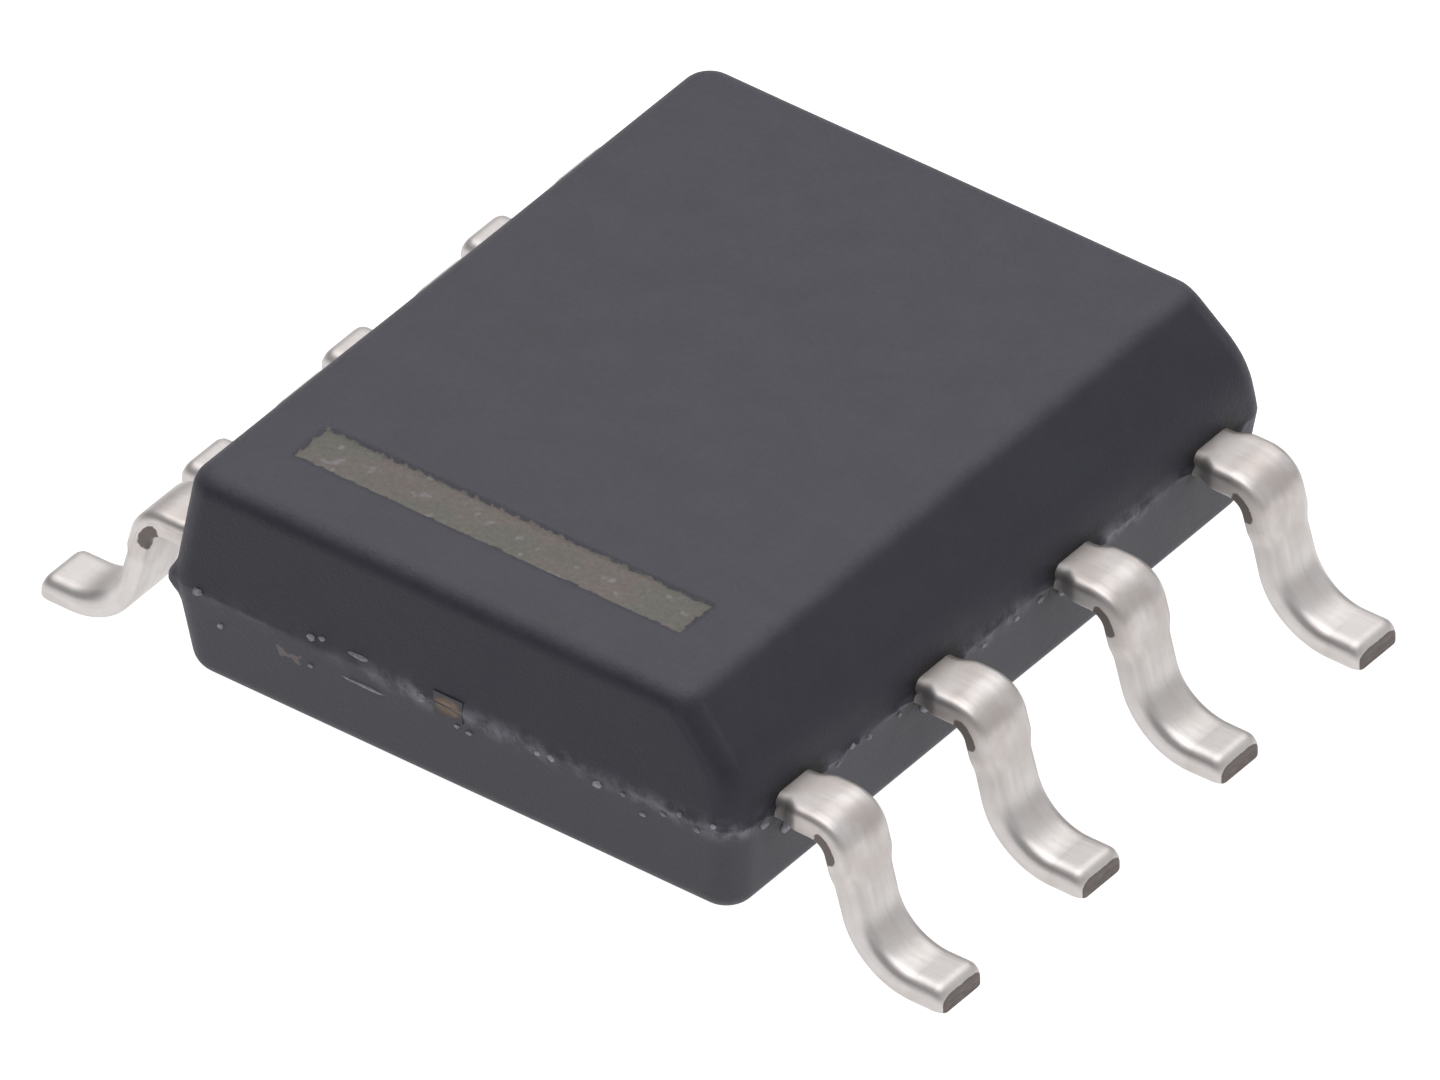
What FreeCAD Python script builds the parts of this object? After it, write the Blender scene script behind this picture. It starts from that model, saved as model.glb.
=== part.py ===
import FreeCAD
import Part
import Sketcher
import math
import os

# Eight-lead small-outline plastic chip, in millimetres, +Z up.
# The feet rest on Z = 0 and the origin is under the middle of the body.
# X runs across the two rows of leads and Y runs along the body.
# Lead 1 is at +X, -Y. Leads 1 to 4 run along +X towards +Y, leads 5 to 8
# come back along -X, so that the count runs anticlockwise seen from above.

os.makedirs("parts", exist_ok=True)
doc = FreeCAD.newDocument("small_outline_chip")

SIZES = [
    # moulded body, measured at the parting plane
    ("body_x", 3.93, "width of the body across the leads"),
    ("body_y", 4.89, "length of the body"),
    ("standoff", 0.25, "air under the body"),
    ("lower_h", 0.65, "body below the parting plane"),
    ("upper_h", 0.71, "body above the parting plane"),
    ("draft", 7, "draft of the four sides, degrees"),
    ("corner_r", 0.18, "rounding of the upright corners"),
    ("bevel", 0.35, "width of the bevel on the side of leads 1 to 4"),
    ("bevel_r", 0.45, "blend between the bevel and the side below it"),
    ("top_edge_r", 0.14, "rounding of the top edges"),
    ("low_edge_r", 0.14, "rounding of the bottom edges"),
    # orientation bar and ejector mark
    ("bar_len", 2.65, "orientation bar, length across the body"),
    ("bar_wide", 0.35, "orientation bar, width"),
    ("bar_in", 0.52, "orientation bar, distance from the body's end"),
    ("bar_gap", 0.51, "orientation bar, distance from the plain side"),
    ("bar_deep", 0.015, "orientation bar, depth"),
    ("eject_d", 0.9, "ejector mark under the body, diameter"),
    ("eject_deep", 0.03, "ejector mark, depth"),
    # lead frame and the outer, formed part of each lead
    ("pitch", 1.27, "distance between leads"),
    ("frame_th", 0.15, "thickness of the lead frame"),
    ("lead_wide", 0.38, "width of a lead"),
    ("lead_edge_r", 0.03, "rounding of the edges of a lead"),
    ("shoulder", 0.25, "flat run between the body and the upper bend"),
    ("bend_up_r", 0.18, "upper bend, radius at mid thickness"),
    ("bend_low_r", 0.42, "lower bend, radius at mid thickness"),
    ("lean", 15, "slant of the riser from upright, degrees"),
    ("foot", 0.21, "flat run of the foot beyond the lower bend"),
    ("stub_out", 0.035, "how far the cut dambar stub stands out of a lead"),
    ("stub_gap", 0.16, "from the body to the stub"),
    ("stub_run", 0.10, "stub on the riser beyond the upper bend"),
    ("wing_in", 0.12, "formed part of a lead that starts in the body"),
    # the inner end of each lead, held in the body
    ("tip_gap", 0.22, "from the paddle to a lead's inner tip"),
    ("land_len", 0.42, "landing for the bond, length"),
    ("land_wide", 0.55, "landing for the bond, width"),
    ("neck_run", 0.12, "taper between the landing and the lead"),
    ("tip_jog", 0.25, "shift of the corner landings towards the middle"),
    ("hole_d", 0.18, "anchor hole through the landing"),
    ("hole_in", 0.12, "anchor hole, from the landing's outer end"),
    # paddle, glue, silicon
    ("paddle_x", 1.9, "paddle width"),
    ("paddle_y", 3.0, "paddle length"),
    ("paddle_r", 0.12, "paddle corner radius"),
    ("downset", 0.2, "paddle below the lead frame"),
    ("tie_wide", 0.2, "width of a tie bar"),
    ("tie_level", 0.08, "level run of a tie bar beside the paddle"),
    ("tie_slope", 45, "slope of the step in a tie bar, degrees"),
    ("glue_th", 0.025, "thickness of the die attach"),
    ("glue_out", 0.05, "die attach beyond the silicon"),
    ("glue_r", 0.05, "die attach corner radius"),
    ("die_x", 1.3, "silicon width"),
    ("die_y", 1.9, "silicon length"),
    ("die_th", 0.22, "silicon thickness"),
    # bond wires
    ("wire_d", 0.05, "bond wire diameter"),
    ("bond_in", 0.12, "bond, from the edge of the silicon"),
    ("bond_gap", 0.3, "middle bonds, from the middle of the silicon"),
    ("stitch_in", 0.13, "bond on the lead, from its tip"),
    ("loop_h", 0.22, "top of the wire above the silicon"),
    ("loop_r", 0.1, "bend of the wire above the ball"),
    ("fall_r", 0.12, "bend of the wire before the fall"),
    ("fall", 35, "slope of the falling wire, degrees"),
    ("ball_d", 0.11, "ball on the silicon, diameter"),
    ("ball_h", 0.03, "ball on the silicon, height"),
    ("stitch_d", 0.12, "bond on the lead, diameter"),
    ("stitch_h", 0.02, "bond on the lead, height"),
    ("end_lift", 0.002, "underside of the wire's end above the lead"),
]

dims = doc.addObject("Spreadsheet::Sheet", "dims")
for row, (alias, value, note) in enumerate(SIZES, start=1):
    dims.set("A%d" % row, note)
    dims.set("B%d" % row, str(value))
    dims.setAlias("B%d" % row, alias)
doc.recompute()

# Heights and places that several pieces share.
HALF_X = "(dims.body_x / 2)"
HALF_Y = "(dims.body_y / 2)"
PART_Z = "(dims.standoff + dims.lower_h)"
TOP_Z = "(dims.standoff + dims.lower_h + dims.upper_h)"
FRAME_LOW = f"({PART_Z} - dims.frame_th / 2)"
FRAME_TOP = f"({PART_Z} + dims.frame_th / 2)"
PADDLE_LOW = f"({FRAME_LOW} - dims.downset)"
PADDLE_TOP = f"({FRAME_TOP} - dims.downset)"
DIE_LOW = f"({PADDLE_TOP} + dims.glue_th)"
DIE_TOP = f"({DIE_LOW} + dims.die_th)"
TIP_X = "(dims.paddle_x / 2 + dims.tip_gap)"


def value_of(text):
    """The number that an expression on the sheet gives."""
    return float(dims.evalExpression(text))


def place(obj, x="0", y="0", z="0", turn="0"):
    """Bind an object's place and its turn about the vertical."""
    spot = f"create(<<vector>>; {x}; {y}; {z})"
    spin = f"create(<<rotation>>; create(<<vector>>; 0; 0; 1); {turn})"
    obj.setExpression("Placement", f"create(<<placement>>; {spot}; {spin})")


def new_body(label):
    body = doc.addObject("PartDesign::Body", label)
    body.Label = label
    return body


def new_sketch(body, name, role, offset="0"):
    """A sketch on one of the body's own planes, moved along its normal."""
    planes = body.Origin.OriginFeatures
    plane = [item for item in planes if item.Role == role][0]
    sketch = body.newObject("Sketcher::SketchObject", name)
    sketch.AttachmentSupport = [(plane, "")]
    sketch.MapMode = "FlatFace"
    if offset != "0":
        sketch.setExpression("AttachmentOffset.Base.z", offset)
    return sketch


def pin_point(sketch, geo, pos, across, up):
    """Fix one point of a sketch to a pair of expressions."""
    for kind, text, axis in (("DistanceX", across, -2), ("DistanceY", up, -1)):
        if text == "0":
            sketch.addConstraint(
                Sketcher.Constraint("PointOnObject", geo, pos, axis))
        else:
            rule = Sketcher.Constraint(kind, -1, 1, geo, pos, value_of(text))
            number = sketch.addConstraint(rule)
            sketch.setExpression("Constraints[%d]" % number, text)


def draw_chain(sketch, points, arcs=None, closed=True):
    """Lines and arcs through points, each point a pair of expressions.

    arcs maps the number of a segment to its radius, the expressions of its
    centre, and True where it turns to the left along the chain.
    """
    arcs = arcs or {}
    count = len(points) if closed else len(points) - 1
    spots = [FreeCAD.Vector(value_of(a), value_of(b), 0) for a, b in points]
    ends = []
    for n in range(count):
        start = spots[n]
        stop = spots[(n + 1) % len(points)]
        if n in arcs:
            radius, cx, cy, left = arcs[n]
            hub = FreeCAD.Vector(value_of(cx), value_of(cy), 0)
            first, last = (start, stop) if left else (stop, start)
            angle_1 = FreeCAD.Vector(1, 0, 0).getAngle(first - hub)
            angle_2 = FreeCAD.Vector(1, 0, 0).getAngle(last - hub)
            if (first - hub).y < 0:
                angle_1 = -angle_1
            if (last - hub).y < 0:
                angle_2 = -angle_2
            if angle_2 < angle_1:
                angle_2 += 2 * math.pi
            circle = Part.Circle(
                hub, FreeCAD.Vector(0, 0, 1), value_of(radius))
            geo = sketch.addGeometry(
                Part.ArcOfCircle(circle, angle_1, angle_2), False)
            ends.append((geo, 1, 2) if left else (geo, 2, 1))
        else:
            geo = sketch.addGeometry(Part.LineSegment(start, stop), False)
            ends.append((geo, 1, 2))
    for n in range(count - 1):
        sketch.addConstraint(Sketcher.Constraint(
            "Coincident", ends[n][0], ends[n][2],
            ends[n + 1][0], ends[n + 1][1]))
    if closed:
        sketch.addConstraint(Sketcher.Constraint(
            "Coincident", ends[-1][0], ends[-1][2], ends[0][0], ends[0][1]))
    for n in range(count):
        pin_point(sketch, ends[n][0], ends[n][1], *points[n])
    if not closed:
        pin_point(sketch, ends[-1][0], ends[-1][2], *points[-1])
    for n, (radius, _, _, _) in arcs.items():
        number = sketch.addConstraint(
            Sketcher.Constraint("Radius", ends[n][0], value_of(radius)))
        sketch.setExpression("Constraints[%d]" % number, radius)


def draw_block(sketch, half_a, half_b, radius, mid_a="0", mid_b="0"):
    """A rectangle with round corners about a middle point."""
    a1 = f"({mid_a} - {half_a})"
    a2 = f"({mid_a} + {half_a})"
    b1 = f"({mid_b} - {half_b})"
    b2 = f"({mid_b} + {half_b})"
    rr = radius
    points = [
        (f"({a1} + {rr})", b1), (f"({a2} - {rr})", b1),
        (a2, f"({b1} + {rr})"), (a2, f"({b2} - {rr})"),
        (f"({a2} - {rr})", b2), (f"({a1} + {rr})", b2),
        (a1, f"({b2} - {rr})"), (a1, f"({b1} + {rr})"),
    ]
    arcs = {
        1: (rr, f"({a2} - {rr})", f"({b1} + {rr})", True),
        3: (rr, f"({a2} - {rr})", f"({b2} - {rr})", True),
        5: (rr, f"({a1} + {rr})", f"({b2} - {rr})", True),
        7: (rr, f"({a1} + {rr})", f"({b1} + {rr})", True),
    }
    draw_chain(sketch, points, arcs)


def draw_circle(sketch, diameter, across, up):
    hub = FreeCAD.Vector(value_of(across), value_of(up), 0)
    ring = Part.Circle(hub, FreeCAD.Vector(0, 0, 1), value_of(diameter) / 2)
    geo = sketch.addGeometry(ring, False)
    pin_point(sketch, geo, 3, across, up)
    number = sketch.addConstraint(
        Sketcher.Constraint("Diameter", geo, value_of(diameter)))
    sketch.setExpression("Constraints[%d]" % number, diameter)


def add_pad(body, name, sketch, length, reverse=False, taper=None):
    pad = body.newObject("PartDesign::Pad", name)
    pad.Profile = sketch
    pad.setExpression("Length", length)
    pad.Reversed = reverse
    if taper:
        pad.setExpression("TaperAngle", taper)
    return pad


def add_pocket(body, name, sketch, length, reverse=False):
    pocket = body.newObject("PartDesign::Pocket", name)
    pocket.Profile = sketch
    pocket.setExpression("Length", length)
    pocket.Reversed = reverse
    return pocket


def add_pipe(body, name, section, path):
    pipe = body.newObject("PartDesign::AdditivePipe", name)
    pipe.Profile = section
    names = ["Edge%d" % (n + 1) for n in range(path.GeometryCount)]
    pipe.Spine = (path, names)
    return pipe


def add_fillet(body, name, base, radius, height=None):
    """Round every edge of a body that lies flat at one height, or with no
    height every edge that doesn't lie flat."""
    near = 1e-5
    doc.recompute()
    names = []
    for n, edge in enumerate(base.Shape.Edges):
        box = edge.BoundBox
        flat = box.ZMax - box.ZMin < near
        if height is None:
            wanted = not flat
        else:
            wanted = flat and abs(box.ZMin - value_of(height)) < near
        if wanted:
            names.append("Edge%d" % (n + 1))
    fillet = body.newObject("PartDesign::Fillet", name)
    fillet.Base = (base, names)
    fillet.setExpression("Radius", radius)
    return fillet


# Gull-wing path, in the lead's own frame, at mid thickness of the metal.
TURN = "(90 - dims.lean)"
IN_X = f"({HALF_X} - dims.wing_in)"
BEND_X1 = f"({HALF_X} + dims.shoulder)"
BEND_X2 = f"({BEND_X1} + dims.bend_up_r * sin({TURN}))"
BEND_Z2 = f"({PART_Z} - dims.bend_up_r * (1 - cos({TURN})))"
BEND_Z3 = f"(dims.frame_th / 2 + dims.bend_low_r * (1 - cos({TURN})))"
BEND_X3 = f"({BEND_X2} + ({BEND_Z2} - {BEND_Z3}) * tan(dims.lean))"
BEND_X4 = f"({BEND_X3} + dims.bend_low_r * sin({TURN}))"
END_X = f"({BEND_X4} + dims.foot)"
FOOT_Z = "(dims.frame_th / 2)"
UP_ARC = ("dims.bend_up_r", BEND_X1, f"({PART_Z} - dims.bend_up_r)", False)
LOW_ARC = ("dims.bend_low_r", BEND_X4, f"({FOOT_Z} + dims.bend_low_r)", True)


def make_lead(number, jog):
    """One lead: gull wing outside, landing with an anchor hole inside.

    jog is the shift of the landing towards the middle of the row.
    """
    label = "pin_%d_lead" % number
    tag = "lead%d" % number
    body = new_body(label)

    path = new_sketch(body, tag + "_path", "XZ_Plane")
    draw_chain(path, [
        (IN_X, PART_Z), (BEND_X1, PART_Z), (BEND_X2, BEND_Z2),
        (BEND_X3, BEND_Z3), (BEND_X4, FOOT_Z), (END_X, FOOT_Z),
    ], {1: UP_ARC, 3: LOW_ARC}, closed=False)
    section = new_sketch(body, tag + "_section", "YZ_Plane", IN_X)
    draw_block(section, "dims.lead_wide / 2", "dims.frame_th / 2",
               "dims.lead_edge_r", "0", PART_Z)
    add_pipe(body, tag + "_wing", section, path)

    # The stub that the dambar leaves when it is sheared off.
    stub_x = f"({HALF_X} + dims.stub_gap)"
    stub_path = new_sketch(body, tag + "_stub_path", "XZ_Plane")
    draw_chain(stub_path, [
        (stub_x, PART_Z), (BEND_X1, PART_Z), (BEND_X2, BEND_Z2),
        (f"({BEND_X2} + dims.stub_run * sin(dims.lean))",
         f"({BEND_Z2} - dims.stub_run * cos(dims.lean))"),
    ], {1: UP_ARC}, closed=False)
    stub_section = new_sketch(body, tag + "_stub_section", "YZ_Plane", stub_x)
    half = "(dims.lead_wide / 2 + dims.stub_out)"
    draw_chain(stub_section, [
        (f"(0 - {half})", FRAME_LOW), (half, FRAME_LOW),
        (half, FRAME_TOP), (f"(0 - {half})", FRAME_TOP),
    ])
    add_pipe(body, tag + "_stub", stub_section, stub_path)

    # The inner end: a landing, a neck and a run that joins the wing.
    land = new_sketch(body, tag + "_inner", "XY_Plane", FRAME_LOW)
    land_x = f"({TIP_X} + dims.land_len)"
    neck_x = f"({land_x} + dims.neck_run)"
    join_x = f"({HALF_X} - dims.wing_in / 2)"
    low_y = f"({jog} - dims.land_wide / 2)"
    high_y = f"({jog} + dims.land_wide / 2)"
    draw_chain(land, [
        (TIP_X, low_y), (land_x, low_y),
        (neck_x, "(0 - dims.lead_wide / 2)"),
        (join_x, "(0 - dims.lead_wide / 2)"),
        (join_x, "(dims.lead_wide / 2)"),
        (neck_x, "(dims.lead_wide / 2)"),
        (land_x, high_y), (TIP_X, high_y),
    ])
    add_pad(body, tag + "_landing", land, "dims.frame_th")
    hole = new_sketch(body, tag + "_hole", "XY_Plane", FRAME_TOP)
    draw_circle(hole, "dims.hole_d", f"({land_x} - dims.hole_in)", jog)
    add_pocket(body, tag + "_anchor", hole, "dims.frame_th")

    row = number if number <= 4 else number - 4
    along = f"(({row} - 2.5) * dims.pitch)"
    if number <= 4:
        place(body, "0", along)
    else:
        place(body, "0", f"(0 - {along})", "0", "180")
    return body


leads = []
for number in range(1, 9):
    row = (number - 1) % 4
    jog = {0: "dims.tip_jog", 3: "(0 - dims.tip_jog)"}.get(row, "0")
    leads.append(make_lead(number, jog))

# Paddle with a tie bar at each end, stepped up to the level of the leads.
paddle = new_body("die_paddle")
plate = new_sketch(paddle, "paddle_outline", "XY_Plane", PADDLE_LOW)
draw_block(plate, "dims.paddle_x / 2", "dims.paddle_y / 2", "dims.paddle_r")
add_pad(paddle, "paddle_plate", plate, "dims.frame_th")
STEP_Y1 = "(dims.paddle_y / 2 + dims.tie_level)"
STEP_Y2 = f"({STEP_Y1} + dims.downset / tan(dims.tie_slope))"
MITRE = "(dims.frame_th * tan(dims.tie_slope / 2))"
for end, sign in (("near", "-1"), ("far", "1")):
    tie = new_sketch(paddle, "tie_" + end, "YZ_Plane",
                     "(0 - dims.tie_wide / 2)")
    draw_chain(tie, [
        (f"({sign} * (dims.paddle_y / 2 - dims.paddle_r))", PADDLE_LOW),
        (f"({sign} * {STEP_Y1})", PADDLE_LOW),
        (f"({sign} * {STEP_Y2})", FRAME_LOW),
        (f"({sign} * {HALF_Y})", FRAME_LOW),
        (f"({sign} * {HALF_Y})", FRAME_TOP),
        (f"({sign} * ({STEP_Y2} - {MITRE}))", FRAME_TOP),
        (f"({sign} * ({STEP_Y1} - {MITRE}))", PADDLE_TOP),
        (f"({sign} * (dims.paddle_y / 2 - dims.paddle_r))", PADDLE_TOP),
    ])
    add_pad(paddle, "tie_bar_" + end, tie, "dims.tie_wide")

# Die attach, spread a little wider than the silicon that sits on it.
glue = new_body("die_attach")
glue_line = new_sketch(glue, "glue_outline", "XY_Plane", PADDLE_TOP)
draw_block(glue_line, "(dims.die_x / 2 + dims.glue_out)",
           "(dims.die_y / 2 + dims.glue_out)", "dims.glue_r")
add_pad(glue, "glue_film", glue_line, "dims.glue_th")

silicon = new_body("silicon_die")
die_line = new_sketch(silicon, "die_outline", "XY_Plane", DIE_LOW)
HALF_DX = "(dims.die_x / 2)"
HALF_DY = "(dims.die_y / 2)"
draw_chain(die_line, [
    (f"(0 - {HALF_DX})", f"(0 - {HALF_DY})"), (HALF_DX, f"(0 - {HALF_DY})"),
    (HALF_DX, HALF_DY), (f"(0 - {HALF_DX})", HALF_DY),
])
add_pad(silicon, "die_slab", die_line, "dims.die_th")


def make_wire(number):
    """One bond wire, from a ball on the silicon to a bond on its lead."""
    label = "bond_wire_%d" % number
    tag = "wire%d" % number
    row = (number - 1) % 4
    body = new_body(label)

    bond_x = f"({HALF_DX} - dims.bond_in)"
    corner = f"({HALF_DY} - dims.bond_in)"
    bond_y = [f"(0 - {corner})", "(0 - dims.bond_gap)",
              "(dims.bond_gap)", corner][row]
    lead_x = f"({TIP_X} + dims.stitch_in)"
    shift = ["+ dims.tip_jog", "", "", "- dims.tip_jog"][row]
    lead_y = f"(({row} - 1.5) * dims.pitch {shift})"
    run_x = f"({lead_x} - {bond_x})"
    run_y = f"({lead_y} - {bond_y})"
    reach = f"sqrt({run_x} ^ 2 + {run_y} ^ 2)"

    # Up from the ball, over the bend, level, then down to the lead.
    high = f"({DIE_TOP} + dims.loop_h)"
    low = (f"({FRAME_TOP} + dims.wire_d / 2 * cos(dims.fall)"
           " + dims.end_lift)")
    drop = f"({high} - dims.fall_r * (1 - cos(dims.fall)))"
    turn_x2 = f"({reach} - ({drop} - {low}) / tan(dims.fall))"
    turn_x1 = f"({turn_x2} - dims.fall_r * sin(dims.fall))"
    path = new_sketch(body, tag + "_path", "XZ_Plane")
    draw_chain(path, [
        ("0", DIE_TOP), ("0", f"({high} - dims.loop_r)"),
        ("dims.loop_r", high), (turn_x1, high), (turn_x2, drop),
        (reach, low),
    ], {
        1: ("dims.loop_r", "dims.loop_r", f"({high} - dims.loop_r)", False),
        3: ("dims.fall_r", turn_x1, f"({high} - dims.fall_r)", False),
    }, closed=False)
    section = new_sketch(body, tag + "_section", "XY_Plane", DIE_TOP)
    draw_circle(section, "dims.wire_d", "0", "0")
    add_pipe(body, tag + "_wire", section, path)

    ball = new_sketch(body, tag + "_ball", "XY_Plane", DIE_TOP)
    draw_circle(ball, "dims.ball_d", "0", "0")
    add_pad(body, tag + "_ball_bond", ball, "dims.ball_h")
    stitch = new_sketch(body, tag + "_stitch", "XY_Plane", FRAME_TOP)
    draw_circle(stitch, "dims.stitch_d", reach, "0")
    add_pad(body, tag + "_stitch_bond", stitch, "dims.stitch_h")

    angle = f"atan2({run_y}; {run_x})"
    if number <= 4:
        place(body, bond_x, bond_y, "0", angle)
    else:
        place(body, f"(0 - {bond_x})", f"(0 - {bond_y})", "0",
              f"(180 deg + {angle})")
    return body


wires = [make_wire(number) for number in range(1, 9)]

# Moulded body: two drafted halves that meet at the parting plane.
HALF_OUTLINE = [
    (f"(0 - {HALF_X})", f"(0 - {HALF_Y})"), (HALF_X, f"(0 - {HALF_Y})"),
    (HALF_X, HALF_Y), (f"(0 - {HALF_X})", HALF_Y),
]
form_up = new_body("upper_form")
line_up = new_sketch(form_up, "upper_outline", "XY_Plane", PART_Z)
draw_chain(line_up, HALF_OUTLINE)
add_pad(form_up, "upper_block", line_up, "dims.upper_h", False,
        "(0 - dims.draft)")

# The bevel along the side of leads 1 to 4, at 45 degrees.
crease = f"({HALF_X} - dims.upper_h * tan(dims.draft) - dims.bevel)"
wedge = new_sketch(form_up, "bevel_wedge", "XZ_Plane",
                   f"({HALF_Y} + dims.bevel)")
draw_chain(wedge, [
    (f"({crease} - dims.bevel)", f"({TOP_Z} + dims.bevel)"),
    (f"({crease} + 2 * dims.bevel)", f"({TOP_Z} - 2 * dims.bevel)"),
    (f"({crease} + 2 * dims.bevel)", f"({TOP_Z} + dims.bevel)"),
])
bevel = add_pocket(form_up, "bevel_cut", wedge,
                   "(dims.body_y + 2 * dims.bevel)")
blend = add_fillet(form_up, "bevel_blend", bevel, "dims.bevel_r",
                   f"({TOP_Z} - dims.bevel / (1 - tan(dims.draft)))")
corners_up = add_fillet(form_up, "upper_corners", blend, "dims.corner_r")
add_fillet(form_up, "top_rounding", corners_up, "dims.top_edge_r", TOP_Z)

form_low = new_body("lower_form")
line_low = new_sketch(form_low, "lower_outline", "XY_Plane", PART_Z)
draw_chain(line_low, HALF_OUTLINE)
block_low = add_pad(form_low, "lower_block", line_low, "dims.lower_h", True,
                    "(0 - dims.draft)")
corners_low = add_fillet(form_low, "lower_corners", block_low,
                         "dims.corner_r")
add_fillet(form_low, "low_rounding", corners_low, "dims.low_edge_r",
           "dims.standoff")

# Orientation bar beside lead 1, a shallow sunk strip with plain ends.
bar = new_sketch(form_up, "bar_outline", "XY_Plane", TOP_Z)
BAR_X1 = f"(0 - {HALF_X} + dims.bar_gap)"
BAR_X2 = f"({BAR_X1} + dims.bar_len)"
BAR_Y1 = f"(0 - {HALF_Y} + dims.bar_in)"
BAR_Y2 = f"({BAR_Y1} + dims.bar_wide)"
draw_chain(bar, [
    (BAR_X1, BAR_Y1), (BAR_X2, BAR_Y1), (BAR_X2, BAR_Y2), (BAR_X1, BAR_Y2),
])
add_pocket(form_up, "bar_recess", bar, "dims.bar_deep")
mark = new_sketch(form_low, "eject_outline", "XY_Plane", "dims.standoff")
draw_circle(mark, "dims.eject_d", "0", "0")
add_pocket(form_low, "eject_recess", mark, "dims.eject_deep", True)
form = doc.addObject("Part::MultiFuse", "mould_form")
form.Shapes = [form_up, form_low]
form.Refine = False

# The compound flows round everything that it holds, so the body is the
# moulded form less the lead frame, the silicon and the wires.
held = doc.addObject("Part::MultiFuse", "held_in_body")
held.Shapes = leads + [paddle, glue, silicon] + wires
held.Refine = False
mould = doc.addObject("Part::Cut", "mould_body")
mould.Label = "mould_body"
mould.Base = form
mould.Tool = held
mould.Refine = False
doc.recompute()

pieces = [mould] + leads + [paddle, glue, silicon] + wires
for item in doc.Objects:
    for fault in ("Invalid", "Error"):
        if fault in item.State:
            raise RuntimeError("%s is %s" % (item.Name, fault))
for piece in pieces:
    shape = piece.Shape
    if shape.isNull() or not shape.isValid():
        raise RuntimeError("%s has no sound shape" % piece.Label)
    if len(shape.Solids) != 1:
        raise RuntimeError("%s is not one solid" % piece.Label)

for piece in pieces:
    piece.Shape.exportStep("parts/%s.step" % piece.Label)
    box = piece.Shape.BoundBox
    print("%-13s volume %.5f  x %.3f %.3f  y %.3f %.3f  z %.3f %.3f" % (
        piece.Label, piece.Shape.Volume, box.XMin, box.XMax,
        box.YMin, box.YMax, box.ZMin, box.ZMax))
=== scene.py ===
"""Small-outline chip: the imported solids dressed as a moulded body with
satin leads, on a pale light table.

All shapes are worked out in millimetres and put into their meshes in
metres.
"""
import math
from types import SimpleNamespace

import bpy
import numpy as np
from bpy.props import FloatProperty, FloatVectorProperty, PointerProperty
from bpy.types import Operator, Panel, PropertyGroup
from mathutils import Matrix, Vector


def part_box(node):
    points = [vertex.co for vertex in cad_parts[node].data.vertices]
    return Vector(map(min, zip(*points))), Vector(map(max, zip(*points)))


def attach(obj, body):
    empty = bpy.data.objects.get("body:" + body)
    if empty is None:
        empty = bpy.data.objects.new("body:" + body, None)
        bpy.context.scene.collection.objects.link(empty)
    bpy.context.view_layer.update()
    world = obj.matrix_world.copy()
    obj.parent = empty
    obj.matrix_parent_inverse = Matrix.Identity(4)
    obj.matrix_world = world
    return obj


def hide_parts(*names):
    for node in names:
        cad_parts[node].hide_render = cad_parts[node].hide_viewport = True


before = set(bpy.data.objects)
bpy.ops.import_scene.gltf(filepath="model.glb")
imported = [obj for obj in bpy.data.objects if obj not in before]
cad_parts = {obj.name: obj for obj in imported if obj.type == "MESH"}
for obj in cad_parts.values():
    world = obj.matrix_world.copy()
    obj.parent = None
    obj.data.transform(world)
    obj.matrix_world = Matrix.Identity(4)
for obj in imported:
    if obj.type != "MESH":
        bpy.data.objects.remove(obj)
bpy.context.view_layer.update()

bl_info = {
    "name": "Small-outline chip",
    "version": (1, 0, 0),
    "blender": (4, 5, 0),
    "location": "View3D > Sidebar > Chip",
    "description": "Moulded body, gull-wing leads and what lies inside",
    "category": "Object",
}

MM = 0.001
THICK = 0.15
BODY_LOW, BODY_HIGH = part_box("mould_body")
LEAD_LOW, LEAD_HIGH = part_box("pin_1_lead")
PINS = range(1, 9)


# ------------------------------------------------------------- settings

def length(name, text, value, least=0.0):
    """A length, given in millimetres and kept in metres."""
    return FloatProperty(name=name, description=text, default=value * MM,
                         min=least * MM, unit="LENGTH", precision=6)


def turn(name, text, degrees):
    """An angle, given in degrees."""
    return FloatProperty(name=name, description=text, unit="ROTATION",
                         default=math.radians(degrees))


def colour(name, text, value):
    """A colour."""
    return FloatVectorProperty(name=name, description=text, default=value,
                               subtype="COLOR", size=3, min=0.0, max=1.0)


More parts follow.
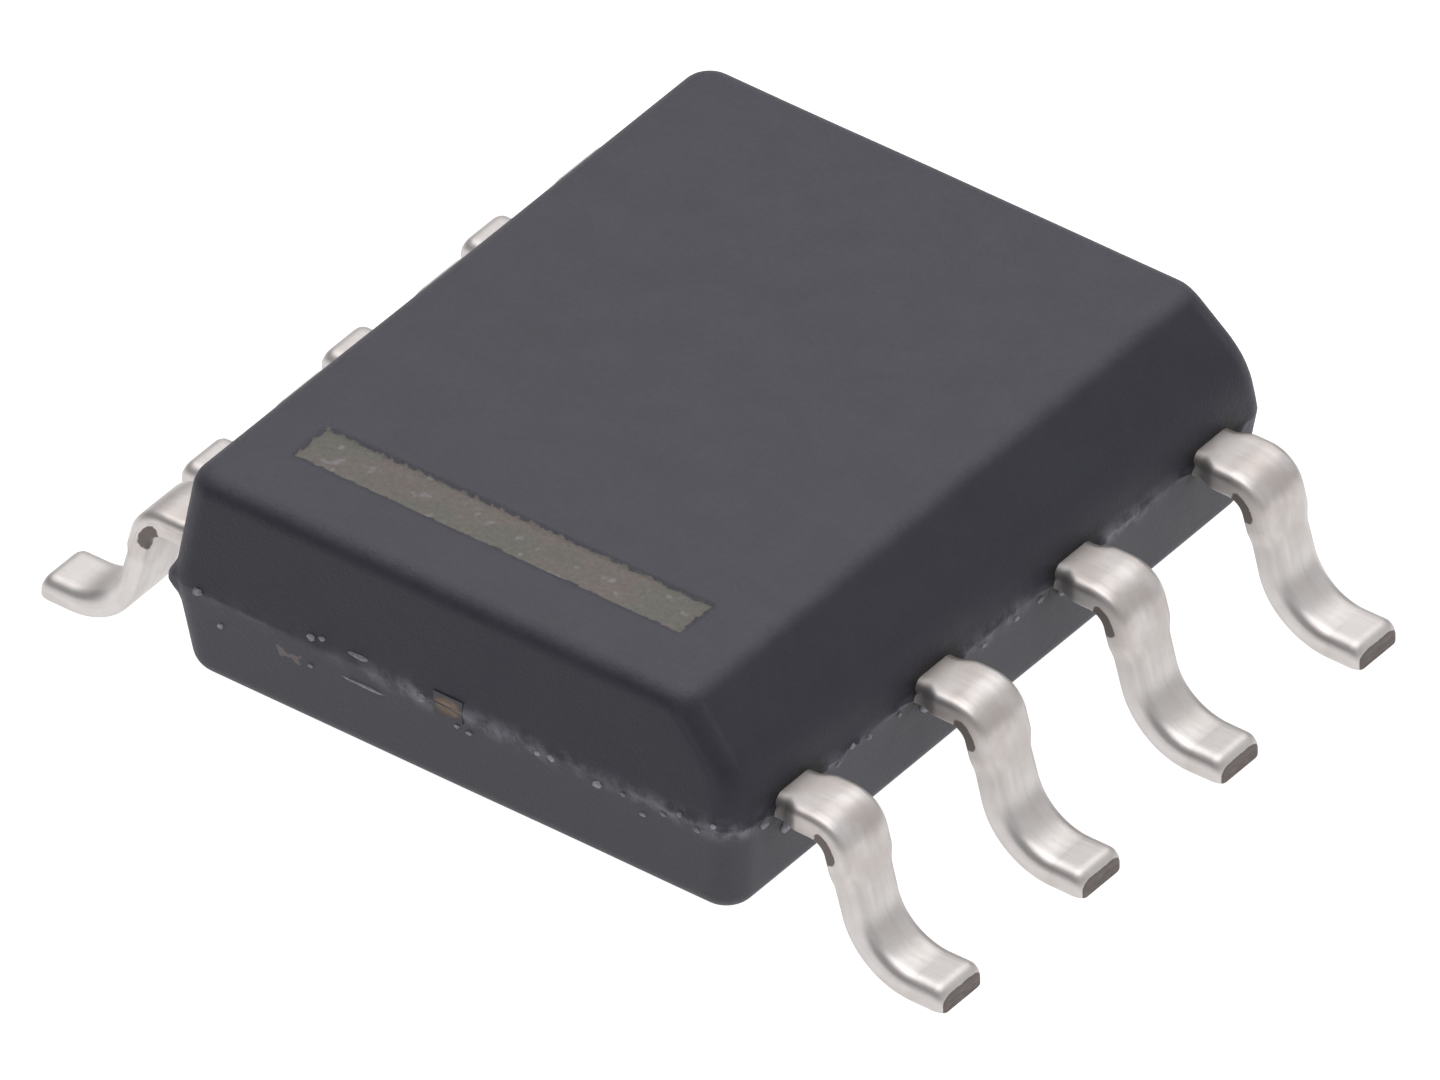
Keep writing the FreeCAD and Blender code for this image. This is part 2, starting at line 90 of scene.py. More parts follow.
class ChipBodySizes(PropertyGroup):
    """Sizes of the moulded body."""
    width: length("Width", "Across the leads, at the parting line",
                  (BODY_HIGH.x - BODY_LOW.x) / MM)
    run: length("Length", "Along the rows of leads, at the parting line",
                (BODY_HIGH.y - BODY_LOW.y) / MM)
    under: length("Underside", "Height of the underside", BODY_LOW.z / MM)
    parting: length("Parting line", "Height of the parting line",
                    LEAD_HIGH.z / MM - THICK / 2)
    top: length("Top", "Height of the top", BODY_HIGH.z / MM)
    draft: turn("Draft", "Slope of the four sides", 7.0)
    corner: length("Corners", "Upright corner radius", 0.18)
    bevel: length("Bevel", "Width of the bevel", 0.35)
    blend: length("Bevel blend", "Blend between the bevel and its side", 0.45)
    edge_top: length("Top edges", "Rounding of the top edges", 0.14)
    edge_low: length("Bottom edges", "Rounding of the bottom edges", 0.14)
    bar_run: length("Bar length", "Length of the sunk bar", 2.65)
    bar_wide: length("Bar width", "Width of the sunk bar", 0.305)
    bar_in: length("Bar to end", "From the near end to the bar", 0.565)
    bar_side: length("Bar to side", "From the plain side to the bar", 0.475)
    bar_deep: length("Bar depth", "Depth of the sunk bar", 0.015)
    eject: length("Ejector mark", "Diameter of the mark underneath", 0.9)
    eject_deep: length("Mark depth", "Depth of the ejector mark", 0.03)
    flash: length("Flash", "How far the flash stands out", 0.03)


class ChipLeadSizes(PropertyGroup):
    """Sizes of one gull-wing lead."""
    pitch: length("Pitch", "From one lead to the next", 1.27)
    tip: length("Tip", "Inner tip of a lead, from the middle", LEAD_LOW.x / MM)
    width: length("Width", "Width of a lead", 0.38)
    thick: length("Thickness", "Thickness of the metal", THICK)
    round_top: length("Upper edges", "Rounding of the upper edges", 0.072)
    round_low: length("Lower edges", "Rounding of the lower edges", 0.02)
    round_end: length("Foot's end", "Rounding of its upper edge", 0.075)
    shoulder: length("Shoulder", "Level run outside the body", 0.25)
    bend_up: length("Upper bend", "Radius at mid thickness", 0.18)
    bend_low: length("Lower bend", "Radius at mid thickness", 0.42)
    lean: turn("Lean", "Slant of the riser from upright", 15.0)
    foot: length("Foot", "Flat run of the foot", 0.21)
    landing: length("Landing", "Length of the landing", 0.42)
    landing_wide: length("Landing width", "Width of the landing", 0.55)
    neck: length("Neck", "Taper from the landing", 0.12)
    jog: length("Jog", "Shift of the corner landings", 0.25)
    hole: length("Anchor hole", "Diameter of the hole", 0.18)
    hole_in: length("Hole to end", "From the landing's outer end", 0.12)
    stub_gap: length("Stub gap", "From the body to the stub", 0.16)
    stub_run: length("Stub run", "Stub beyond the upper bend", 0.1)
    stub_out: length("Stub", "How far the stub stands out", 0.020)
    waist: length("Waist", "How much narrower a lead is at the body", 0.012)
    stub_sharp: length("Stub edge", "How much less a stub's edge is rounded",
                       0.02)


class ChipFinish(PropertyGroup):
    """Colours of the pieces."""
    mould: colour("Compound", "Moulding compound", (0.040, 0.039, 0.050))
    mould_pale: colour("Compound, pale", "Pale grain in the compound",
                       (0.056, 0.055, 0.068))
    # Painted shade: this colour multiplies the compound on the upper sides,
    # darkening them as their shade would; it is not a colour of the compound.
    shade: colour("Upper sides", "How much darker the upper sides are",
                  (0.41, 0.395, 0.49))
    chipped: colour("Broken compound", "Flash and broken edges",
                    (0.34, 0.34, 0.38))
    bar: colour("Bar", "Burnt surface of the bar", (0.143, 0.139, 0.121))
    bar_warm: colour("Bar, warm", "Warmer clouds in the bar",
                     (0.163, 0.141, 0.128))
    plating: colour("Plating", "Satin plating", (0.60, 0.575, 0.565))
    plating_worn: colour("Plating, worn", "Plating drawn thin at the bends",
                         (0.46, 0.405, 0.375))
    sheared: colour("Sheared metal", "Cut ends of the leads",
                    (0.080, 0.064, 0.058))
    copper: colour("Copper", "Bare lead frame", (0.50, 0.27, 0.13))
    tarnish: colour("Tarnish", "Cut ends of the tie bars",
                    (0.165, 0.120, 0.088))
    glue: colour("Die attach", "Silver-filled glue", (0.60, 0.60, 0.58))
    silicon: colour("Silicon", "Silicon die", (0.12, 0.13, 0.17))
    gold: colour("Gold", "Bond wires", (0.90, 0.65, 0.25))
    floor: colour("Floor", "Light table", (0.30, 0.30, 0.30))


class ChipStage(PropertyGroup):
    """Camera."""
    azimuth: turn("Azimuth", "Round the chip, from its near end", 37.13)
    elevation: turn("Elevation", "Above the table", 37.66)
    roll: turn("Roll", "Turn about the line of sight", -0.14)
    distance: length("Distance", "From the camera to the chip", 275.0)
    view_width: length("View width", "Width seen at the chip", 7.903)
    shift_right: length("Aim right", "Aim to the right of the middle",
                        0.0112, least=-10.0)
    shift_up: length("Aim up", "Aim above the middle", -0.2015, least=-10.0)


def in_mm(part):
    """A part's settings as plain numbers, its lengths in millimetres."""
    kinds = part.bl_rna.properties
    return SimpleNamespace(**{
        name: getattr(part, name) / (MM if kinds[name].unit == "LENGTH"
                                     else 1)
        for name in part.__annotations__})


# ------------------------------------------------------- node helpers

def add(tree, kind, values=None, **settings):
    """A new node with its settings, its inputs linked or set by name."""
    made = tree.nodes.new(kind)
    for key, value in settings.items():
        setattr(made, key, value)
    for key, value in (values or {}).items():
        fill(tree, made.inputs[key], value)
    return made


def fill(tree, socket, value):
    """Link an input to an output, or set it; a colour may leave out its
    fourth number."""
    if isinstance(value, bpy.types.NodeSocket):
        tree.links.new(value, socket)
    elif socket.type == "RGBA":
        socket.default_value = (*value[:3], 1.0)
    else:
        socket.default_value = value


def calc(tree, operation, first, second=0.0):
    """One sum on numbers."""
    return add(tree, "ShaderNodeMath", {0: first, 1: second},
               operation=operation).outputs[0]


def times(tree, first, second):
    """The product of two numbers."""
    return calc(tree, "MULTIPLY", first, second)


def weighted(tree, start, *terms):
    """A start, and each value times its weight on top of it."""
    for value, weight in terms:
        start = calc(tree, "ADD", start, times(tree, value, weight))
    return start


def vector(tree, operation, first, second=(0.0, 0.0, 0.0)):
    """One sum on vectors."""
    made = add(tree, "ShaderNodeVectorMath", {0: first, 1: second},
               operation=operation)
    return made.outputs["Value" if operation == "LENGTH" else "Vector"]


def split(tree, value):
    """The three numbers of a vector, by name."""
    return add(tree, "ShaderNodeSeparateXYZ", {0: value}).outputs


def mark(tree, name):
    """A number that the mesh carries at each point."""
    return add(tree, "ShaderNodeAttribute",
               attribute_name=name).outputs["Fac"]


def ramp(tree, value, low, high, start=0.0, stop=1.0):
    """A soft step from start to stop as value goes from low to high."""
    made = add(tree, "ShaderNodeMapRange",
               {"Value": value, "From Min": low, "From Max": high,
                "To Min": start, "To Max": stop},
               interpolation_type="SMOOTHSTEP")
    return made.outputs["Result"]


def tint(tree, share, first, second, blend="MIX"):
    """Two colours mixed by a share."""
    made = add(tree, "ShaderNodeMix", {0: share, 6: first, 7: second},
               data_type="RGBA", blend_type=blend)
    return made.outputs[2]


def noise(tree, place, scale, detail=2.0, rough=0.5):
    """Smooth noise from 0 to 1 at a place."""
    made = add(tree, "ShaderNodeTexNoise",
               {"Vector": place, "Scale": scale, "Detail": detail,
                "Roughness": rough})
    return made.outputs["Fac"]


def cells(tree, place, scale, loose=1.0, distance="EUCLIDEAN"):
    """Distance to the nearest point of a loosely set grid."""
    made = add(tree, "ShaderNodeTexVoronoi",
               {"Vector": place, "Scale": scale, "Randomness": loose},
               distance=distance)
    return made.outputs["Distance"]


def shaded(ink, share):
    """A colour times a share, at most 1."""
    return tuple(min(1.0, share * part) for part in ink)


def tones(tree, share, ink, low, high):
    """One colour between two strengths of it."""
    return tint(tree, share, shaded(ink, low), shaded(ink, high))


def moulded_grain(tree, take):
    """Grain of a spark-worn mould: broad clouds, fine grain and pits."""
    place, scale = take["Position"], take["Scale"]
    clouds = noise(tree, place, times(tree, scale, 0.12), 3.0, 0.6)
    fine = noise(tree, place, scale, 5.0, 0.7)
    pits = ramp(tree, cells(tree, place, times(tree, scale, 1.6)),
                0.05, 0.45)
    shade = weighted(tree, 0.0, (clouds, 0.5), (fine, 0.5))
    return {"Shade": ramp(tree, shade, 0.36, 0.66),
            "Height": weighted(tree, 0.0, (fine, 0.7), (pits, 0.3))}


def broken_film(tree, take):
    """A thin pale film: its own mask broken into soft flakes by noise."""
    flakes = noise(tree, take["Position"], take["Scale"], 4.0, 0.65)
    left = times(tree, take["Film"], ramp(tree, flakes, 0.38, 0.66))
    return {"Mask": times(tree, left, take["Amount"])}


def ragged_patch(tree, take):
    """A box of the surface with ragged sides: 1 inside, 0 outside."""
    place = take["Position"]
    away = vector(tree, "ABSOLUTE",
                  vector(tree, "SUBTRACT", place, take["Middle"]))
    out = split(tree, vector(tree, "SUBTRACT", away, take["Half size"]))
    far = calc(tree, "MAXIMUM", calc(tree, "MAXIMUM", out["X"], out["Y"]),
               out["Z"])
    shake = calc(tree, "SUBTRACT",
                 noise(tree, place, take["Scale"], 3.0), 0.5)
    edge = weighted(tree, far, (times(tree, shake, take["Ragged"]), 2.0))
    return {"Mask": ramp(tree, edge, 0.006, -0.006)}


def drawn_streaks(tree, take):
    """Streaks along a strip of metal, from its own U (along) and V."""
    parts = split(tree, take["Along"])
    squeezed = add(tree, "ShaderNodeCombineXYZ",
                   {0: calc(tree, "DIVIDE", parts["X"], take["Stretch"]),
                    1: parts["Y"]})
    streaks = noise(tree, squeezed.outputs[0], take["Scale"], 4.0, 0.6)
    clouds = noise(tree, take["Along"], 3.5, 3.0, 0.6)
    shade = weighted(tree, 0.0, (streaks, 0.4), (clouds, 0.6))
    return {"Shade": ramp(tree, shade, 0.35, 0.65), "Height": streaks}


# Each shared effect: its maker, its inputs, None for a vector, and its
# outputs.
EFFECTS = {
    "Moulded grain": (moulded_grain, {"Position": None, "Scale": 20.0},
                      ("Shade", "Height")),
    "Broken film": (broken_film, {"Film": 0.0, "Position": None,
                                  "Scale": 9.0, "Amount": 0.5},
                    ("Mask",)),
    "Ragged patch": (ragged_patch, {"Position": None, "Middle": None,
                                    "Half size": None, "Ragged": 0.01,
                                    "Scale": 30.0}, ("Mask",)),
    "Drawn streaks": (drawn_streaks, {"Along": None, "Stretch": 12.0,
                                      "Scale": 30.0},
                      ("Shade", "Height")),
}


def make_group(name):
    """The node group of one shared effect."""
    build, takes, gives = EFFECTS[name]
    tree = bpy.data.node_groups.new(name, "ShaderNodeTree")
    for label, value in takes.items():
        kind = "Vector" if value is None else "Float"
        socket = tree.interface.new_socket(
            name=label, in_out="INPUT", socket_type="NodeSocket" + kind)
        if value is not None:
            socket.default_value = value
    for label in gives:
        tree.interface.new_socket(name=label, in_out="OUTPUT",
                                  socket_type="NodeSocketFloat")
    start = tree.nodes.new("NodeGroupInput")
    end = tree.nodes.new("NodeGroupOutput")
    for label, value in build(tree, start.outputs).items():
        tree.links.new(value, end.inputs[label])
    return tree


def use(tree, name, **values):
    """The outputs of a shared effect; _ in a key stands for a space."""
    made = tree.nodes.new("ShaderNodeGroup")
    made.node_tree = bpy.data.node_groups.get(name) or make_group(name)
    for key, value in values.items():
        fill(tree, made.inputs[key.replace("_", " ")], value)
    return made.outputs


def finish_shader(tree, base, rough, height, depth, metal=0.0):
    """Colour, roughness, as a start and weighted values, metal and a bump
    whose full height is depth mm. Returns the shader's inputs."""
    bump = add(tree, "ShaderNodeBump",
               {"Strength": 1.0, "Distance": depth * MM, "Height": height})
    inputs = tree.nodes["Principled BSDF"].inputs
    for key, value in (("Base Color", base), ("Metallic", metal),
                       ("Roughness", weighted(tree, *rough)),
                       ("Normal", bump.outputs[0])):
        fill(tree, inputs[key], value)
    return inputs


# ------------------------------------------------------------ materials

# Colours that no setting gives: what the dark grain of the bar is
# multiplied by, the painted shade round each lead where it leaves the
# body, the mark on the near end and the compound round a tie bar's cut.
BURNT_DARK = (0.82, 0.82, 0.82)
LEAD_ROOT_SHADE = (0.006, 0.006, 0.007)
STAIN = (0.16, 0.12, 0.11)
TIE_DARK = (0.055, 0.053, 0.058)


def moulding_compound(chip, tree, place):
    """Moulding compound: matt grain, painted shade on the upper sides that
    leaves the top and the lower half paler, painted highlights down the
    corners, burnt bar, a film of flash, painted shade round each lead where
    it leaves the body, and a reddish mark on the near end."""
    body, ink = in_mm(chip.body), chip.finish
    grain = use(tree, "Moulded grain", Position=place, Scale=26.0)
    base = tint(tree, grain["Shade"], ink.mould, ink.mould_pale)
    # Painted shade: where the pale mark is below 1 the compound is multiplied
    # by the shade colour, darkening the upper sides as their shade would; the
    # painted corner highlights come in through the same mark.
    dark = tint(tree, 1.0, base, ink.shade, "MULTIPLY")
    base = tint(tree, mark(tree, "pale"), dark, base)

    trim = 0.008
    half_run, half_wide = body.bar_run / 2, body.bar_wide / 2
    bar_x = -body.width / 2 + body.bar_side + half_run
    bar_y = -body.run / 2 + body.bar_in + half_wide
    bar = use(tree, "Ragged patch", Position=place,
              Middle=(bar_x, bar_y, body.top),
              Half_size=(half_run - trim, half_wide - trim, 0.1),
              Ragged=0.035, Scale=18.0)["Mask"]
    burnt = noise(tree, place, 30.0, 5.0, 0.7)
    hue = tint(tree, ramp(tree, noise(tree, place, 4.0, 3.0), 0.4, 0.6),
               ink.bar, ink.bar_warm)
    hue = tint(tree, ramp(tree, burnt, 0.3, 0.7),
               tint(tree, 1.0, hue, BURNT_DARK, "MULTIPLY"), hue)
    specks = ramp(tree, noise(tree, place, 13.0, 1.0), 0.62, 0.76)
    hue = tint(tree, times(tree, specks, 0.3), hue, ink.chipped)
    base = tint(tree, bar, base, hue)

    flakes = use(tree, "Broken film", Film=mark(tree, "film"),
                 Position=place, Scale=7.0, Amount=0.42)["Mask"]
    base = tint(tree, flakes, base, ink.chipped)
    # Painted shade round each lead where it leaves the body.
    base = tint(tree, mark(tree, "gap"), base, LEAD_ROOT_SHADE)
    stain = use(tree, "Ragged patch", Position=place,
                Middle=(-1.11, -body.run / 2 + 0.03, 0.725),
                Half_size=(0.07, 0.1, 0.025), Ragged=0.08,
                Scale=14.0)["Mask"]
    base = tint(tree, times(tree, stain, 0.55), base, STAIN)

    height = weighted(tree, grain["Height"], (times(tree, bar, burnt), 1.5))
    inputs = finish_shader(
        tree, base, (0.52, (grain["Shade"], 0.12), (bar, 0.25)), height,
        0.004)
    inputs["Specular IOR Level"].default_value = 0.35


def broken_compound(chip, tree, place):
    """Broken compound on the flakes of flash: pale, rough and uneven."""
    grain = use(tree, "Moulded grain", Position=place, Scale=18.0)
    base = tones(tree, grain["Shade"], chip.finish.chipped, 0.35, 0.85)
    finish_shader(tree, base, (0.4, (grain["Shade"], 0.2)),
                  grain["Height"], 0.003)


def satin_plating(chip, tree, place):
    """Satin plating with drawn streaks, thinner and warmer at the bends,
    and ragged dark metal where the strip was cut."""
    ink = chip.finish
    along = add(tree, "ShaderNodeUVMap", uv_map="strip").outputs[0]
    streaks = use(tree, "Drawn streaks", Along=along, Stretch=10.0,
                  Scale=26.0)
    worn = times(tree, mark(tree, "bend"), ramp(
        tree, noise(tree, place, 5.0, 3.0), 0.35, 0.65))
    base = tint(tree, times(tree, streaks["Shade"], 0.35), ink.plating,
                ink.plating_worn)
    base = tint(tree, times(tree, worn, 0.6), base, ink.plating_worn)
    torn = calc(tree, "SUBTRACT", noise(tree, place, 18.0, 4.0, 0.6), 0.5)
    cut = ramp(tree, weighted(tree, mark(tree, "cut"), (torn, 0.7)),
               0.38, 0.62)
    base = tint(tree, cut, base, shaded(ink.sheared, 1.5))
    finish_shader(tree, base, (0.43, (streaks["Shade"], 0.08)),
                  streaks["Height"], 0.0015,
                  metal=ramp(tree, cut, 0.0, 1.0, 1.0, 0.3))


def sheared_metal(chip, tree, place):
    """Sheared metal: dark, brown and scored along the cut."""
    lines = noise(tree, vector(tree, "MULTIPLY", place, (1.0, 1.0, 5.0)),
                  16.0, 4.0, 0.6)
    base = tones(tree, ramp(tree, lines, 0.35, 0.75), chip.finish.sheared,
                 1.0, 2.2)
    finish_shader(tree, base, (0.45, (lines, 0.25)), lines, 0.006,
                  metal=0.3)


def frame_copper(chip, tree, place):
    """Bare lead frame: copper alloy, darkened in clouds, and tarnished
    brown where its tie bars come out of the body's ends, in an ellipse
    round the middle of each cut."""
    body, ink = in_mm(chip.body), chip.finish
    clouds = noise(tree, place, 7.0, 4.0, 0.6)
    base = tones(tree, ramp(tree, clouds, 0.35, 0.65), ink.copper,
                 0.35, 1.0)
    scored = noise(tree, vector(tree, "MULTIPLY", place, (6.0, 1.0, 22.0)),
                   2.2, 4.0, 0.65)
    tarnish = tones(tree, ramp(tree, scored, 0.35, 0.65), ink.tarnish,
                    0.6, 1.0)
    off = vector(tree, "SUBTRACT", place, (0.0, 0.0, body.parting))
    far = vector(tree, "LENGTH", vector(
        tree, "MULTIPLY", off, (1 / 0.09, 0.0, 1 / 0.055)))
    tarnish = tint(tree, ramp(tree, far, 0.65, 1.25), tarnish, TIE_DARK)
    out = calc(tree, "ABSOLUTE", split(tree, place)["Y"])
    end = body.run / 2
    base = tint(tree, ramp(tree, out, end - 0.02, end - 0.01), base,
                tarnish)
    finish_shader(tree, base, (0.35, (clouds, 0.3)), clouds, 0.003,
                  metal=0.8)


def silver_glue(chip, tree, place):
    """Silver-filled glue: flakes of silver in a clear resin."""
    flakes = cells(tree, place, 30.0)
    base = tones(tree, flakes, chip.finish.glue, 1.0, 0.6)
    finish_shader(tree, base, (0.35, (flakes, 0.4)), flakes, 0.003,
                  metal=0.5)


def silicon(chip, tree, place):
    """Silicon with the faint blocks of a plain circuit on it."""
    blocks = cells(tree, place, 7.0, 0.7, "CHEBYCHEV")
    fine = noise(tree, place, 60.0, 2.0)
    shade = weighted(tree, 0.0, (blocks, 0.7), (fine, 0.3))
    base = tones(tree, shade, chip.finish.silicon, 1.0, 2.2)
    finish_shader(tree, base, (0.15, (fine, 0.15)), shade, 0.0005,
                  metal=0.4)


def gold_wire(chip, tree, place):
    """Gold wire, drawn smooth."""
    fine = noise(tree, place, 45.0, 3.0)
    base = tones(tree, fine, chip.finish.gold, 1.0, 1.1)
    finish_shader(tree, base, (0.18, (fine, 0.12)), fine, 0.0006,
                  metal=1.0)


def light_table(chip, tree, place):
    """A lit white table, with a trace of cloud in it."""
    cloud = noise(tree, place, 0.05, 2.0)
    base = tones(tree, cloud, chip.finish.floor, 1.0, 1.03)
    inputs = finish_shader(tree, base, (0.6, (cloud, 0.1)), cloud, 0.001)
    for key, value in (("Specular IOR Level", 0.0),
                       ("Emission Color", (1, 1, 1)),
                       ("Emission Strength", 0.98)):
        fill(tree, inputs[key], value)


MATERIALS = {maker.__name__: maker for maker in (
    moulding_compound, broken_compound, satin_plating, sheared_metal,
    frame_copper, silver_glue, silicon, gold_wire, light_table)}


def material(name, chip):
    """The finish of that name, made the first time it is asked for. Its
    maker gets the node tree and the place in millimetres."""
    made = bpy.data.materials.get(name)
    if made is None:
        made = bpy.data.materials.new(name)
        made.use_nodes = True
        tree = made.node_tree
        place = add(tree, "ShaderNodeTexCoord").outputs["Object"]
        MATERIALS[name](chip, tree,
                        vector(tree, "MULTIPLY", place, (1 / MM,) * 3))
    return made


# --------------------------------------------------------------- shapes

# A column of the body's side faces squarely out when its outward
# direction has at least this much of X or of Y in it.
FACING = 0.9


def grid_faces(numbers, closed=False):
    """Quads over a grid of point numbers; closed joins its last column to
    its first."""
    rows = np.asarray(numbers)
    if closed:
        rows = np.concatenate([rows, rows[:, :1]], axis=1)
    return np.stack([rows[:-1, :-1], rows[:-1, 1:], rows[1:, 1:],
                     rows[1:, :-1]], axis=-1).reshape(-1, 4)


def make_piece(name, points, faces, finishes, slots=0, rims=(), uv=None,
               marks=None):
    """A mesh object from points in millimetres and quads.

    rims are closed rings of point numbers that get one flat face each,
    with the last finish. slots gives each quad its finish, uv a pair of
    numbers for each point, and marks named numbers for each point.
    """
    mesh = bpy.data.meshes.new(name)
    polygons = [tuple(face) for face in faces.tolist()]
    polygons += [tuple(ring) for ring in rims]
    mesh.from_pydata((points * MM).tolist(), [], polygons)
    for finish in finishes:
        mesh.materials.append(finish)
    which = np.full(len(polygons), len(finishes) - 1, np.int32)
    which[:len(faces)] = slots
    mesh.polygons.foreach_set("material_index", which)
    mesh.polygons.foreach_set("use_smooth",
                              np.arange(len(polygons)) < len(faces))
    if uv is not None:
        corners = np.zeros(len(mesh.loops), np.int32)
        mesh.loops.foreach_get("vertex_index", corners)
        layer = mesh.uv_layers.new(name="strip")
        layer.data.foreach_set("uv", uv[corners].ravel())
    for label, values in (marks or {}).items():
        layer = mesh.attributes.new(label, "FLOAT", "POINT")
        layer.data.foreach_set("value", values.astype(np.float32))
    mesh.update()
    made = bpy.data.objects.new(name, mesh)
    bpy.context.scene.collection.objects.link(made)
    return made


def wander(place, step, seed, period=None):
    """A smooth random curve: heights from 0 to 1 drawn step apart and
    joined by half cosine waves. With a period it meets its own start."""
    place = np.asarray(place, float) / step
    first = np.floor(place).astype(int)
    share = (1 - np.cos(np.pi * (place - first))) / 2
    heights = np.random.default_rng(seed).random(4096)
    wrap = 4096 if period is None else max(1, int(round(period / step)))
    return (heights[first % wrap] * (1 - share)
            + heights[(first + 1) % wrap] * share)


def eased(value):
    """A value held from 0 to 1 and eased at both: s squared (3 - 2 s)."""
    share = np.clip(value, 0, 1)
    return share ** 2 * (3 - 2 * share)


def bell(value, width):
    """A bell curve: e to the power of minus (value / width) squared."""
    return np.exp(-(value / width) ** 2)


def summed(steps):
    """The running sum of some steps, from 0."""
    return np.concatenate([[0], np.cumsum(steps)])


def body_levels(body):
    """The moulded body cut at many heights.

    Each level is a rounded rectangle: its height z, its plain side, its
    bevelled side, its half length and its corner radius. The four sides
    slope in from the parting line by the draft, and the top and bottom
    edges are arcs that touch both their faces. The bevelled side follows
    the slope up to the bevel's blend, an arc that touches the slope and a
    line at 45 degrees, and then that line up to the top edge's own arc.
    """
    draft, slope = body.draft, math.tan(body.draft)
    part, top, under = body.parting, body.top, body.under
    half_x, half_y = body.width / 2, body.run / 2
    edge, bevel, blend = body.edge_top, body.bevel, body.blend
    eighth = math.pi / 4

    def rounded(reach, radius):
        """Height below the face, and inset, along an edge's arc."""
        angle = np.linspace(draft, math.pi / 2, 13)
        middle = ((reach - radius * (1 - math.sin(draft))) * slope
                  + radius * math.cos(draft))
        return radius * (1 - np.sin(angle)), middle - radius * np.cos(angle)

    up_drop, up_in = rounded(top - part, edge)
    low_drop, low_in = rounded(part - under, body.edge_low)
    corner_z = top - bevel / (1 - slope)
    touch = blend * math.tan((eighth - draft) / 2)
    blend_low = corner_z - touch * math.cos(draft)
    blend_high = corner_z + touch * math.cos(eighth)
    low = np.concatenate([
        np.linspace(under + low_drop[0], part - 0.13, 9)[1:],
        np.linspace(part - 0.12, part + 0.12, 25),
        np.linspace(part + 0.14, blend_low, 5),
        np.linspace(blend_low, blend_high, 12)[1:],
        np.linspace(blend_high, top - up_drop[0], 6)[1:-1]])
    z = np.concatenate([under + low_drop[::-1], low, top - up_drop])
    inset = np.concatenate([low_in[::-1], np.abs(low - part) * slope, up_in])

    def arc(middle_x, middle_z, radius):
        """The outer half of an upright circle, at every level."""
        lift = np.clip((z - middle_z) / radius, -1, 1)
        return middle_x + radius * np.sqrt(1 - lift ** 2)

    side = half_x - inset
    crease = half_x - (top - part) * slope - bevel
    blend_x = half_x - (blend_low - part) * slope
    right = np.select(
        [z < blend_low, z < blend_high,
         z < top - edge * (1 - math.sin(eighth))],
        [side,
         arc(blend_x - blend * math.cos(draft),
             blend_low - blend * math.sin(draft), blend),
         crease + top - z],
        arc(crease - edge * (math.sqrt(2) - 1), top - edge, edge))
    radius = body.corner - inset + np.abs(z - part) * slope
    return z, -side, right, half_y - inset, radius


def cell_lines(start, stop, step, walls, thin):
    """Lines of a grid from start to stop, at most step apart, with a thin
    cell at each wall."""
    stops = [start]
    for wall in walls:
        stops += [wall - thin / 2, wall + thin / 2]
    stops.append(stop)
    out = [np.array([start])]
    for a, b in zip(stops[:-1], stops[1:]):
        count = max(1, int(math.ceil((b - a) / step - 1e-6)))
        out.append(np.linspace(a, b, count + 1)[1:])
    return np.concatenate(out)


def ring_plan(x_lines, y_lines, half):
    """Where each point of a level lies on its rounded rectangle.

    Returns f and g, from 0 to 1 across X and Y between the corner arcs,
    and the outward direction, so that a point is
    x = (1 - f) (left + r) + f (right - r) + r cos,
    y = (1 - g) (r - end) + g (end - r) + r sin.
    half is the number of cells along half a corner.
    """
    quarter = np.linspace(0, math.pi / 4, half + 1)

    def side(lines, angle):
        """One side, from the middle of a corner to the middle of the
        next: its share along and its outward angle."""
        span = lines[half:-half]
        share = (span - span[0]) / (span[-1] - span[0])
        share = np.concatenate([np.zeros(half), share, np.ones(half)])
        turned = np.concatenate([
            angle - math.pi / 4 + quarter[:-1],
            np.full(len(span), angle), angle + quarter[1:]])
        return share[:-1], turned[:-1]

    near, near_a = side(x_lines, -math.pi / 2)
    right, right_a = side(y_lines, 0.0)
    far, far_a = side(-x_lines[::-1], math.pi / 2)
    left, left_a = side(-y_lines[::-1], math.pi)
    f = np.concatenate([near, np.ones_like(right), 1 - far,
                        np.zeros_like(left)])
    g = np.concatenate([np.zeros_like(near), right, np.ones_like(far),
                        1 - left])
    angle = np.concatenate([near_a, right_a, far_a, left_a])
    return f, g, np.cos(angle), np.sin(angle)


def grid_rim(numbers):
    """The outer ring of a grid of point numbers, anticlockwise."""
    return np.concatenate([numbers[0, :-1], numbers[:-1, -1],
                           numbers[-1, :0:-1], numbers[:0:-1, 0]])


def flash_out(around, span, z, part, leads_near):
    """How far the flash stands out, for each level and place round the
    body: a thin fin on the parting line, high where two random curves are
    both high, over a low rough band."""
    fin = np.clip(wander(around, 0.07, 11, span)
                  * wander(around, 0.6, 12, span) * 1.8 - 0.6, 0, 1)
    fin = np.maximum(fin, leads_near)
    thin = bell(z - part, 0.02)
    rough = wander(around[None, :] + 0.31 * z[:, None], 0.06, 13)
    rough = (rough - 0.5) * bell(z - part, 0.045)[:, None]
    return thin[:, None] * fin[None, :] + 0.25 * rough


